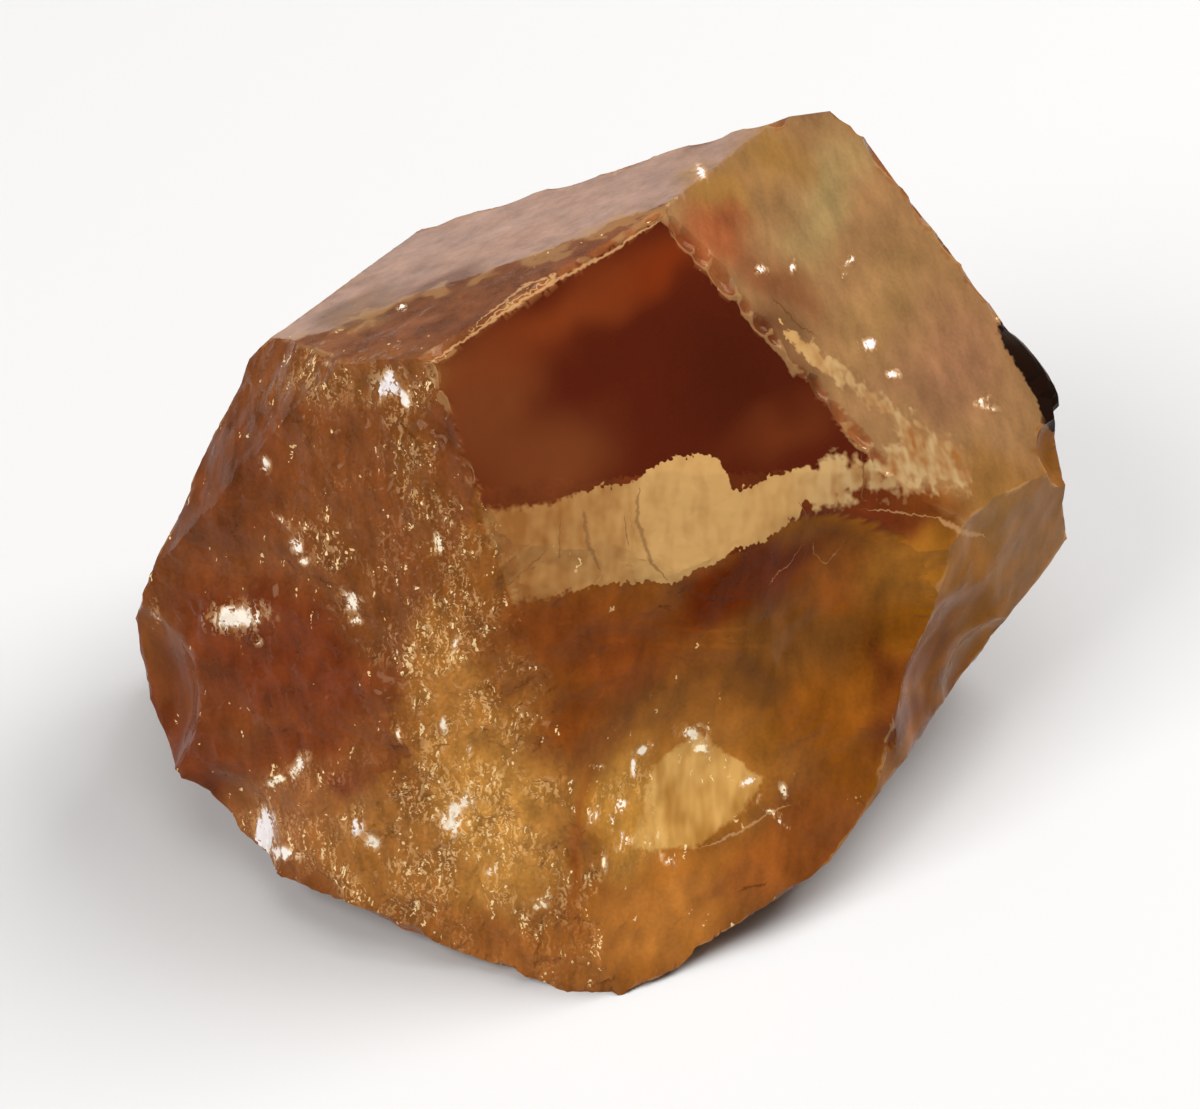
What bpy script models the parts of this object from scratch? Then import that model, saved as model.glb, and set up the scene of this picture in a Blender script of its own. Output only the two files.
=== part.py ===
# Raw citrine: one natural lump of smoky golden quartz, broken on all sides.
# The stone is cut from a block by its faces, then roughened, scooped and chipped.

import math
import random

import bmesh
import bpy
from mathutils import Euler, Matrix, Vector, noise

# Driving dimensions, in millimetres unless the name says otherwise.
MM = 0.001
STONE = "raw_citrine"
HEART_HEIGHT = 16.0
BLOCK_SIDE = 90.0

# The middle of the stone's own box lies beside its heart, by this much in X and Y.
BOX_MIDDLE_X = 0.303
BOX_MIDDLE_Y = 3.125

# Each face: name, azimuth and elevation of its outward normal in degrees, distance from the heart.
# Azimuth 0 looks along -Y and azimuth 90 along +X.
SMOOTH_FACES = (
    ("top", -132, 63, 16.9),
    ("top_bevel", -123, 67, 16.9),
    ("window", 32, 44, 10.4),
    ("right", 62, 48, 13.6),
    ("ledge", 28, 33, 9.72),
    ("left", -74, 34, 18.9),
    ("left_side", -84, -7, 25.4),
    ("foot_left", -62, -29, 26.3),
    ("foot_right", 63, -28, 19.8),
    ("right_side", 95, 6, 25.6),
    ("back_top", -158, 45, 19.8),
    ("back_upper_left", -127, 36, 19.7),
    ("back_right", 117, 28, 25.2),
    ("base", 0, -90, HEART_HEIGHT),
)

# Each rough face adds the height and the length of its waves.
ROUGH_FACES = (
    ("left_front", -36, 20, 13.6, 0.34, 3.2),
    ("ridge_low", -12, 16, 12.0, 0.34, 2.6),
    ("front", 24, 22, 9.4, 0.28, 4.5),
    ("front_right", 52, 6, 15.9, 0.30, 4.0),
    ("foot_front_left", -30, -45, 22.3, 0.40, 3.5),
    ("foot_front_right", 44, -40, 20.6, 0.40, 3.5),
    ("back_left", -110, 18, 20.9, 0.35, 5.0),
    ("back_low_left", -150, 0, 20.0, 0.45, 4.5),
    ("back_far", 170, 8, 22.0, 0.45, 4.5),
    ("back_low", 140, -20, 24.0, 0.45, 4.0),
    ("under_left", -95, -55, 21.6, 0.40, 4.0),
    ("under_right", 88, -55, 20.6, 0.40, 4.0),
    ("under_back", 178, -56, 21.6, 0.40, 4.0),
    ("under_back_left", -140, -54, 21.4, 0.40, 4.0),
    ("under_back_right", 130, -52, 22.4, 0.40, 4.0),
    ("under_front_left", -48, -64, 20.6, 0.30, 3.0),
    ("under_front_right", 52, -64, 19.8, 0.30, 3.0),
)
ROUGH_SLAB_DEPTH = 6.0
ROUGH_SLAB_SIDE = 60.0
ROUGH_CELL = 1.6
ROUGH_MARGIN = 1.2

# Each shell-shaped hollow: name, mouth from the heart, azimuth and elevation that it opens towards,
# spin about that direction, half sizes across, along and into the stone, depth, ripple height, ripple count.
HOLLOWS = (
    ("hollow_right", (11.8, -5.1, 1.6), 30, 16, 25, (9.0, 13.0, 10.0), 1.7, 0.10, 34),
    ("hollow_lower_right", (18.2, -3.5, -5.1), 58, -2, -20, (8.0, 9.0, 8.0), 1.3, 0.08, 26),
    ("hollow_front", (5.2, -11.7, -6.6), 20, 33, 10, (22.0, 17.0, 28.0), 0.8, 0.05, 60),
    ("hollow_edge", (20.2, -1.6, -6.8), 75, -28, 0, (5.0, 5.0, 6.0), 1.2, 0.06, 22),
    ("hollow_left", (-22.8, -4.2, -6.3), -70, 5, 15, (6.0, 8.0, 8.0), 1.0, 0.06, 26),
    ("hollow_low_left", (-19.0, -9.0, -10.9), -50, -5, 0, (6.0, 5.0, 7.0), 1.1, 0.06, 24),
    ("hollow_back", (-4.0, 21.8, 2.0), 176, 5, 30, (13.0, 17.0, 16.0), 2.4, 0.12, 38),
    ("hollow_back_right", (16.0, 16.0, -3.0), 135, -5, -30, (11.0, 13.0, 12.0), 0.8, 0.10, 30),
    ("hollow_back_left", (-18.7, 6.8, 6.5), -110, 18, 40, (10.0, 14.0, 14.0), 1.0, 0.08, 34),
    ("nick_right", (24.6, 6.5, 1.5), 90, 5, 0, (2.4, 2.6, 3.0), 1.0, 0.0, 0),
)
HOLLOW_DETAIL = 4

# Each slit: name, middle from the heart, half length, half width, half depth, turn about X, Y and Z.
SLITS = (
    ("slit_upper_left", (-10.3, -4.6, 12.8), 0.95, 0.13, 0.5, (0, 58, 35)),
    ("slit_lower_right", (7.3, -17.0, -8.2), 0.95, 0.14, 0.5, (0, -14, 24)),
)

# A dark lump stands on the right-hand rim, this share of the way down it and this far inside it.
RIM_TOP = ("right", "back_right", "back_top")
RIM_FOOT = ("right", "back_right", "right_side")
LUMP_SHARE = 0.86
LUMP_INSET = 0.75
LUMP_HALF_SIZE = (1.5, 1.9, 3.2)

# Each chipped edge: the three faces at each of its ends, how many chips, smallest and largest radius.
CHIPPED_EDGES = (
    (("top_bevel", "window", "left_front"), ("top_bevel", "window", "right"), 15, 0.55, 1.0),
    (("window", "right", "top_bevel"), ("window", "right", "ledge"), 9, 0.8, 1.7),
    (("left_front", "window", "top_bevel"), ("left_front", "ridge_low", "window"), 5, 0.5, 0.9),
    (("ridge_low", "front", "ledge"), ("ridge_low", "front", "base"), 7, 0.6, 1.1),
    (("top", "back_top", "back_upper_left"), ("top", "back_top", "right"), 6, 0.8, 1.5),
    (RIM_TOP, RIM_FOOT, 7, 0.8, 1.6),
    (("front_right", "front", "ledge"), ("front_right", "front", "base"), 6, 0.8, 1.6),
)
CHIP_DEPTH_SHARE = 0.30
CHIP_STRETCH = (1.3, 2.4)
CHIP_WOBBLE = 18.0
CHIP_SEED = 11

CITRINE_COLOUR = (0.45, 0.20, 0.055, 1.0)
CITRINE_ROUGHNESS = 0.12
CITRINE_IOR = 1.55
CITRINE_TRANSMISSION = 0.6

HEART = Vector((0.0, 0.0, HEART_HEIGHT))


def outward(azimuth, elevation):
    """The unit vector that points along an azimuth and an elevation, in degrees."""
    turn = math.radians(azimuth)
    rise = math.radians(elevation)
    return Vector((math.sin(turn) * math.cos(rise), -math.cos(turn) * math.cos(rise), math.sin(rise)))


def face_planes():
    """Each face's normal and its distance from the heart, by name."""
    planes = {name: (outward(azimuth, rise), reach) for name, azimuth, rise, reach in SMOOTH_FACES}
    for name, azimuth, rise, reach, _height, _length in ROUGH_FACES:
        planes[name] = (outward(azimuth, rise), reach)
    return planes


def corner(planes, names):
    """The point where three faces meet."""
    rows = [planes[name] for name in names]
    normals = Matrix([row[0] for row in rows])
    return HEART + normals.inverted() @ Vector([row[1] for row in rows])


def new_object(bm, name, collection, matrix=None):
    """Turn a bmesh in millimetres into an object in metres."""
    bmesh.ops.transform(bm, matrix=matrix or Matrix.Identity(4), verts=bm.verts)
    shift = Matrix.Translation((-BOX_MIDDLE_X, -BOX_MIDDLE_Y, 0.0))
    bmesh.ops.transform(bm, matrix=Matrix.Scale(MM, 4) @ shift, verts=bm.verts)
    bmesh.ops.recalc_face_normals(bm, faces=bm.faces)
    mesh = bpy.data.meshes.new(name)
    bm.to_mesh(mesh)
    bm.free()
    made = bpy.data.objects.new(name, mesh)
    collection.objects.link(made)
    return made


def new_cutter(bm, name, collection, matrix=None):
    """An object that only cuts."""
    made = new_object(bm, name, collection, matrix)
    made.hide_render = True
    made.display_type = "WIRE"
    return made


def slice_off(bm, normal, reach):
    """Cut the block by a plane and close the cut."""
    everything = bm.verts[:] + bm.edges[:] + bm.faces[:]
    plane_point = HEART + normal * reach
    bmesh.ops.bisect_plane(
        bm, geom=everything, dist=0.0001, plane_co=plane_point, plane_no=normal, clear_outer=True
    )
    open_edges = [edge for edge in bm.edges if edge.is_boundary]
    bmesh.ops.holes_fill(bm, edges=open_edges)


def cut_block(collection):
    """The block with all its flat faces, and a little left on where a rough face follows."""
    bm = bmesh.new()
    bmesh.ops.create_cube(bm, size=BLOCK_SIDE, matrix=Matrix.Translation(HEART))
    for _name, azimuth, rise, reach in SMOOTH_FACES:
        slice_off(bm, outward(azimuth, rise), reach)
    for _name, azimuth, rise, reach, _height, _length in ROUGH_FACES:
        slice_off(bm, outward(azimuth, rise), reach + ROUGH_MARGIN)
    return new_object(bm, STONE, collection)


def relief(x, y, height, length, seed):
    """Waves with a smaller set on top, and low steps, as broken quartz has."""
    broad = noise.noise(Vector((x / length, y / length, seed)))
    fine = noise.noise(Vector((x * 2.3 / length, y * 2.3 / length, seed + 5.0)))
    steps = math.floor(2.5 * noise.noise(Vector((x * 0.6 / length, y * 1.3 / length, seed + 9.0)))) / 2.5
    return height * (broad + 0.5 * fine + 0.5 * steps)


def rough_slab(index, face, collection):
    """A slab with an uneven underside, laid where a rough face ends the stone."""
    name, azimuth, rise, reach, height, length = face
    cells = round(ROUGH_SLAB_SIDE / ROUGH_CELL)
    bm = bmesh.new()
    bmesh.ops.create_grid(bm, x_segments=cells, y_segments=cells, size=ROUGH_SLAB_SIDE / 2)
    for vert in bm.verts:
        vert.co.z = relief(vert.co.x, vert.co.y, height, length, index * 3.7)
    top = bmesh.ops.extrude_face_region(bm, geom=bm.faces[:])
    top_verts = [item for item in top["geom"] if isinstance(item, bmesh.types.BMVert)]
    for vert in top_verts:
        vert.co.z = ROUGH_SLAB_DEPTH
    normal = outward(azimuth, rise)
    place = Matrix.Translation(HEART + normal * reach) @ normal.to_track_quat("Z", "Y").to_matrix().to_4x4()
    return new_cutter(bm, "cutter_" + name, collection, place)


def shell_hollow(hollow, collection):
    """A stretched ball with rings around the axis along which it opens."""
    name, mouth, azimuth, elevation, spin, half_sizes, depth, ripple, ripple_count = hollow
    opening = outward(azimuth, elevation)
    bm = bmesh.new()
    bmesh.ops.create_icosphere(bm, subdivisions=HOLLOW_DETAIL, radius=1.0)
    for vert in bm.verts:
        away = vert.co.normalized().angle(Vector((0.0, 0.0, -1.0)), 0.0)
        vert.co *= 1.0 + ripple / half_sizes[2] * math.cos(ripple_count * away)
    centre = HEART + Vector(mouth) + opening * (half_sizes[2] - depth)
    turn = opening.to_track_quat("Z", "Y").to_matrix().to_4x4() @ Matrix.Rotation(math.radians(spin), 4, "Z")
    place = Matrix.Translation(centre) @ turn @ Matrix.Diagonal((*half_sizes, 1.0))
    return new_cutter(bm, "cutter_" + name, collection, place)


def turned(degrees):
    """The rotation by three angles about X, Y and Z."""
    return Euler([math.radians(angle) for angle in degrees]).to_matrix()


def pebble(middle, half_size, spin, detail):
    """A many-sided ball, stretched and turned, with its place."""
    bm = bmesh.new()
    bmesh.ops.create_icosphere(bm, subdivisions=detail, radius=1.0)
    stretch = Matrix.Diagonal((*half_size, 1.0))
    return bm, Matrix.Translation(middle) @ spin.to_4x4() @ stretch


def edge_chips(planes, collection):
    """Small uneven chips along the edges between faces."""
    dice = random.Random(CHIP_SEED)
    for edge_number, (start_faces, end_faces, count, smallest, largest) in enumerate(CHIPPED_EDGES):
        start = corner(planes, start_faces)
        end = corner(planes, end_faces)
        for chip_number in range(count):
            share = (chip_number + dice.uniform(0.15, 0.85)) / count
            radius = dice.uniform(smallest, largest)
            on_edge = start.lerp(end, share)
            away = (on_edge - HEART).normalized()
            middle = on_edge + away * radius * (1.0 - CHIP_DEPTH_SHARE)
            wobble = turned([dice.uniform(-CHIP_WOBBLE, CHIP_WOBBLE) for _axis in range(3)])
            spin = (end - start).to_track_quat("X", "Z").to_matrix() @ wobble
            half_size = (radius * dice.uniform(*CHIP_STRETCH), radius, radius)
            bm, place = pebble(middle, half_size, spin, 1)
            new_cutter(bm, f"cutter_chip_{edge_number}_{chip_number:02d}", collection, place)


def rim_lump(planes, collection):
    """The dark lump that lies along the right-hand rim."""
    top = corner(planes, RIM_TOP)
    foot = corner(planes, RIM_FOOT)
    on_rim = top.lerp(foot, LUMP_SHARE)
    middle = on_rim - (on_rim - HEART).normalized() * LUMP_INSET
    spin = (foot - top).to_track_quat("Z", "Y").to_matrix()
    bm, place = pebble(middle, LUMP_HALF_SIZE, spin, 2)
    return new_cutter(bm, "joiner_lump", collection, place)


def cut_with(stone, cutters, name):
    """Take every cutter of a collection off the stone."""
    cut = stone.modifiers.new(name, "BOOLEAN")
    cut.operation = "DIFFERENCE"
    cut.operand_type = "COLLECTION"
    cut.collection = cutters
    cut.solver = "EXACT"
    return cut


def citrine_material():
    """Golden brown glassy quartz."""
    material = bpy.data.materials.new("citrine")
    material.use_nodes = True
    shader = material.node_tree.nodes["Principled BSDF"]
    shader.inputs["Base Color"].default_value = CITRINE_COLOUR
    shader.inputs["Roughness"].default_value = CITRINE_ROUGHNESS
    shader.inputs["Metallic"].default_value = 0.0
    shader.inputs["IOR"].default_value = CITRINE_IOR
    shader.inputs["Transmission Weight"].default_value = CITRINE_TRANSMISSION
    return material


def new_collection(name, parent):
    """A collection under another one."""
    made = bpy.data.collections.new(name)
    parent.children.link(made)
    return made


def main():
    for old in list(bpy.data.objects):
        bpy.data.objects.remove(old)
    scene_root = bpy.context.scene.collection
    parts = new_collection(STONE, scene_root)
    cutters = new_collection("cutters", scene_root)
    slabs = new_collection("cutters_rough", cutters)
    hollows = new_collection("cutters_hollow", cutters)
    chips = new_collection("cutters_chip", cutters)

    planes = face_planes()
    stone = cut_block(parts)
    for index, face in enumerate(ROUGH_FACES):
        rough_slab(index, face, slabs)
    for hollow in HOLLOWS:
        shell_hollow(hollow, hollows)
    edge_chips(planes, chips)
    for name, middle, half_length, half_width, half_depth, turn in SLITS:
        half_size = (half_length, half_width, half_depth)
        bm, place = pebble(HEART + Vector(middle), half_size, turned(turn), 1)
        new_cutter(bm, "cutter_" + name, chips, place)

    lump = rim_lump(planes, cutters)

    cut_with(stone, slabs, "rough faces")
    join = stone.modifiers.new("lump", "BOOLEAN")
    join.operation = "UNION"
    join.object = lump
    join.solver = "EXACT"
    cut_with(stone, hollows, "hollows")
    cut_with(stone, chips, "chips")
    stone.data.materials.append(citrine_material())


main()
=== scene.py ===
# Raw citrine: the looks of the stone, resting on a plain pale floor.
import math
import random

import bpy
import numpy as np
from mathutils import Euler, Matrix, Vector


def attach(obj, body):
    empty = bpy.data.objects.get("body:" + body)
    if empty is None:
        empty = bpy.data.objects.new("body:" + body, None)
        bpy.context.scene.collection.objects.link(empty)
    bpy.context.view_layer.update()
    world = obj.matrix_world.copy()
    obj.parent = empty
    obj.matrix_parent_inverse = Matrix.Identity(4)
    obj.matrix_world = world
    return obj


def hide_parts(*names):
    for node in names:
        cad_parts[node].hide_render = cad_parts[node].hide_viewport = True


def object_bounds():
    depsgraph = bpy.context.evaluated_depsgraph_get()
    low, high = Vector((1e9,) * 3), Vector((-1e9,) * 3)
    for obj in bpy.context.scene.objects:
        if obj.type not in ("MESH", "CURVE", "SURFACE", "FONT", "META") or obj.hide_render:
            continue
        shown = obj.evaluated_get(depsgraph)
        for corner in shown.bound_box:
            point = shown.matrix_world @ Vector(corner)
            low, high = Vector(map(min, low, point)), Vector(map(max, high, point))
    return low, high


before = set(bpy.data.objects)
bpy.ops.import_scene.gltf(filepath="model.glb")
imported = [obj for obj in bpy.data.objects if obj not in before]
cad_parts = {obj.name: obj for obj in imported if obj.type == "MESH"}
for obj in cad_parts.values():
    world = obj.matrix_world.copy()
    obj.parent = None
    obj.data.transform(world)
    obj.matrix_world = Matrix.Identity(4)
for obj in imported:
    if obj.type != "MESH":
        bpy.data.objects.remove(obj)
CAD_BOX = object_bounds()

# Sizes are in millimetres from the stone's heart, and angles are in degrees, unless a name says otherwise.
MM = 0.001
NODE = "raw_citrine"
HEART = np.array([-0.303, -3.125, 16.0])

# Photograph: its frame, and the camera's rise, distance and picture scale at the heart.
PHOTO_WIDTH = 1200
PHOTO_HEIGHT = 1109
HEART_PIXEL_Y = 550.0
CAMERA_RISE = 40.0
CAMERA_DISTANCE = 240.0
MM_PER_PIXEL = 50.0 / 935.0
SENSOR_WIDTH = 36.0

# Each face: name, azimuth and elevation of its outward normal, distance from the heart,
# height and length of its broad waves, height of its hackles and of its fine grain.
FACES = (
    ("top", -132, 63, 16.9, 0.05, 6.0, 0.00, 0.000),
    ("top_bevel", -123, 67, 16.9, 0.06, 3.0, 0.02, 0.000),
    ("window", 32, 44, 10.4, 0.02, 7.0, 0.00, 0.000),
    ("right", 62, 48, 13.6, 0.08, 4.0, 0.02, 0.002),
    ("ledge", 28, 33, 9.72, 0.06, 3.0, 0.02, 0.000),
    ("left", -74, 34, 18.9, 0.12, 3.0, 0.05, 0.010),
    ("left_side", -84, -7, 25.4, 0.15, 3.0, 0.05, 0.010),
    ("foot_left", -62, -29, 26.3, 0.15, 3.0, 0.05, 0.010),
    ("foot_right", 63, -28, 19.8, 0.15, 3.0, 0.05, 0.005),
    ("right_side", 95, 6, 25.6, 0.12, 3.0, 0.04, 0.005),
    ("back_top", -158, 45, 19.8, 0.06, 4.0, 0.02, 0.002),
    ("back_upper_left", -127, 36, 19.7, 0.06, 4.0, 0.02, 0.002),
    ("back_right", 117, 28, 25.2, 0.08, 4.0, 0.03, 0.003),
    ("left_front", -36, 20, 13.6, 0.34, 3.2, 0.09, 0.016),
    ("ridge_low", -12, 16, 12.0, 0.34, 2.6, 0.12, 0.022),
    ("front", 24, 22, 9.4, 0.28, 4.5, 0.04, 0.004),
    ("front_right", 52, 6, 15.9, 0.18, 4.0, 0.04, 0.004),
    ("foot_front_left", -30, -45, 22.3, 0.40, 3.5, 0.08, 0.012),
    ("foot_front_right", 44, -40, 20.6, 0.40, 3.5, 0.08, 0.006),
    ("back_left", -110, 18, 20.9, 0.35, 5.0, 0.06, 0.008),
    ("back_low_left", -150, 0, 20.0, 0.45, 4.5, 0.08, 0.010),
    ("back_far", 170, 8, 22.0, 0.45, 4.5, 0.08, 0.008),
    ("back_low", 140, -20, 24.0, 0.45, 4.0, 0.08, 0.008),
    ("under_left", -95, -55, 21.6, 0.40, 4.0, 0.08, 0.010),
    ("under_right", 88, -55, 20.6, 0.40, 4.0, 0.08, 0.008),
    ("under_back", 178, -56, 21.6, 0.40, 4.0, 0.08, 0.008),
    ("under_back_left", -140, -54, 21.4, 0.40, 4.0, 0.08, 0.008),
    ("under_back_right", 130, -52, 22.4, 0.40, 4.0, 0.08, 0.008),
    ("under_front_left", -48, -64, 20.6, 0.30, 3.0, 0.06, 0.008),
    ("under_front_right", 52, -64, 19.8, 0.30, 3.0, 0.06, 0.008),
    ("base", 0, -90, 16.0, 0.00, 4.0, 0.00, 0.000),
)

# Each shell-shaped hollow: mouth, azimuth and elevation that it opens towards, spin about that
# direction, half sizes across, along and into the stone, depth, ripple height, ripple count.
HOLLOWS = (
    ((11.8, -5.1, 1.6), 30, 16, 25, (9.0, 13.0, 10.0), 1.4, 0.014, 34),
    ((18.2, -3.5, -5.1), 58, -2, -20, (8.0, 9.0, 8.0), 1.2, 0.008, 26),
    ((5.2, -11.7, -6.6), 20, 33, 10, (22.0, 17.0, 28.0), 0.8, 0.012, 60),
    ((20.2, -1.6, -6.8), 75, -28, 0, (5.0, 5.0, 6.0), 1.2, 0.018, 22),
    ((-22.8, -4.2, -6.3), -70, 5, 15, (6.0, 8.0, 8.0), 1.0, 0.020, 26),
    ((-19.0, -9.0, -10.9), -50, -5, 0, (6.0, 5.0, 7.0), 1.1, 0.018, 24),
    ((-4.0, 21.8, 2.0), 176, 5, 30, (13.0, 17.0, 16.0), 2.4, 0.035, 38),
    ((16.0, 16.0, -3.0), 135, -5, -30, (11.0, 13.0, 12.0), 0.8, 0.025, 30),
    ((-18.7, 6.8, 6.5), -110, 18, 40, (10.0, 14.0, 14.0), 1.0, 0.025, 34),
    ((24.6, 6.5, 1.5), 90, 5, 0, (2.4, 2.6, 3.0), 1.0, 0.0, 0),
)

HOLLOW_ROUGHNESS = 0.20
# Hollows whose rims are worn smooth, by their place in the list, and the width of the wear.
SOFT_HOLLOWS = (0, 1, 2, 4, 5)
SOFT_WEAR = 0.7
# Pairs of faces whose shared edge gets no painted highlight.
QUIET_PAIRS = (
    ("window", "ledge"), ("ledge", "front"), ("left_front", "ridge_low"), ("left", "left_front"),
    ("ridge_low", "front"),
)

# Where a hollow's ripples spread from, in its ball's own frame, whose deepest point is at (0, 0, -1).
RIPPLE_AXIS = np.array([0.75, 0.0, -0.66])

# The dark lump on the right-hand rim: its share of the way down the rim, its inset and its half sizes,
# then the half sizes of the dark patch round it.
RIM_TOP = ("right", "back_right", "back_top")
RIM_FOOT = ("right", "back_right", "right_side")
LUMP_SHARE = 0.95
LUMP_INSET = 0.70
LUMP_HALF_SIZE = (0.78, 0.82, 2.8)
LUMP_ROUGHNESS = 0.002
DARK_PATCH_HALF_SIZE = (1.1, 1.1, 3.3)

# The dark patch's inner border on the side in view: picture places, upward first, from its foot to its top.
DARK_PATCH_BORDER = (
    (6.1, 24.6), (6.6, 23.8), (7.6, 23.35), (9.6, 22.5), (11.0, 21.6), (12.0, 21.2), (12.5, 21.9),
)

# Each chipped edge: the three faces at each of its ends, how many chips, smallest and largest radius.
CHIPPED_EDGES = (
    (("top_bevel", "window", "left_front"), ("top_bevel", "window", "right"), 17, 0.4, 0.9),
    (("window", "right", "top_bevel"), ("window", "right", "ledge"), 12, 0.3, 0.7),
    (("left_front", "window", "top_bevel"), ("left_front", "ridge_low", "window"), 7, 0.3, 0.55),
    (("top", "back_top", "back_upper_left"), ("top", "back_top", "right"), 6, 0.8, 1.5),
    (RIM_TOP, RIM_FOOT, 7, 0.8, 1.6),
    (("front_right", "front", "ledge"), ("front_right", "front", "base"), 5, 0.3, 0.6),
)
CHIP_DEPTH_SHARE = 0.30
CHIP_STRETCH = (1.3, 2.4)
CHIP_WOBBLE = 18.0
CHIP_SEED = 11

# Picture places are millimetres right of and above the heart, as the photograph's camera sees them.
# Each face's body colour, as 8-bit sRGB, its cloudy share, its glitter, its gloss roughness and its mottle.
# The top's and the right face's pale colours are partly their frosted haze and partly painted sheen.
# Glitter sets painted sparkle as well as tilted little facets.
FACE_LOOKS = {
    "top": ((162, 125, 106), 0.75, 0.0, 0.18, 0.35),
    "top_bevel": ((124, 76, 50), 0.71, 0.1, 0.14, 0.5),
    "window": ((80, 27, 12), 0.79, 0.0, 0.03, 0.05),
    "right": ((148, 108, 68), 0.77, 0.0, 0.20, 0.3),
    "ledge": ((104, 46, 20), 0.73, 0.0, 0.06, 0.3),
    "left": ((134, 76, 38), 0.73, 0.35, 0.12, 0.5),
    "left_side": ((124, 62, 32), 0.73, 0.1, 0.12, 0.4),
    "foot_left": ((126, 64, 32), 0.73, 0.1, 0.12, 0.4),
    "left_front": ((136, 76, 36), 0.73, 0.45, 0.12, 0.5),
    "ridge_low": ((156, 94, 38), 0.73, 0.9, 0.10, 0.5),
    "front": ((134, 76, 26), 0.69, 0.1, 0.06, 0.4),
    "front_right": ((136, 82, 8), 0.79, 0.0, 0.20, 0.3),
    "foot_right": ((124, 66, 6), 0.77, 0.1, 0.16, 0.4),
    "right_side": ((130, 82, 36), 0.77, 0.0, 0.22, 0.4),
    "back_top": ((146, 104, 72), 0.67, 0.1, 0.16, 0.4),
    "back_upper_left": ((140, 90, 56), 0.67, 0.1, 0.14, 0.4),
}
OTHER_FACE_LOOKS = ((134, 76, 34), 0.69, 0.3, 0.12, 0.5)
HOLLOW_LOOKS = ((134, 77, 14), 0.77, 0.0, 0.12, 0.4)
CHIP_LOOKS = ((142, 84, 46), 0.77, 0.2, 0.12, 0.4)
LUMP_LOOKS = ((22, 9, 5), 1.0, 0.0, 0.30, 0.3)
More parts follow.
